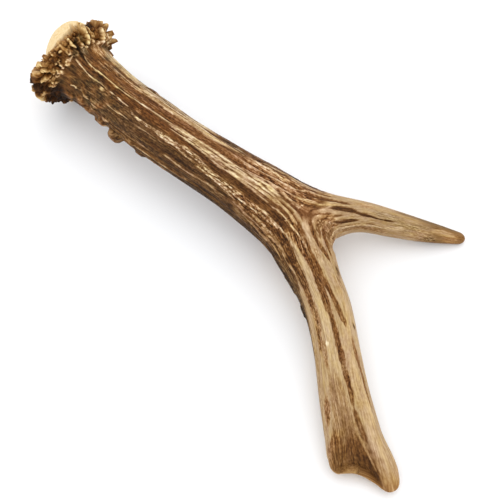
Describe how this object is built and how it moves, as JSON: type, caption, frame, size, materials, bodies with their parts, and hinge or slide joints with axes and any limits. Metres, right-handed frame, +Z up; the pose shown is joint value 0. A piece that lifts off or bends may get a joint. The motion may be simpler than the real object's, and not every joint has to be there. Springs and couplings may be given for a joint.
{
  "type": "deer antler",
  "caption": "Shed roe deer antler lying on its side: knobbly burr with a domed seal, ridged beam, smooth front tine and a blunt, hollowed upper end.",
  "frame": {"origin": "middle of the antler's box seen from above, on the surface that it lies on", "axes": "+X from the burr to the upper beam's tip, +Y towards the front tine's tip, +Z up"},
  "size_m": [0.2244, 0.1057, 0.0404],
  "materials": {
    "ridged_antler": "natural antler bone, dull, brown grooves between raised pale ridges",
    "worn_antler": "natural antler bone, rubbed smooth and pale, with a soft sheen",
    "streaked_antler": "natural antler bone, tan with brown streaks along the grain"
  },
  "bodies": {
    "root": {"beam": "ridged_antler", "front_tine": "worn_antler", "upper_beam": "streaked_antler"}
  },
  "joints": []
}
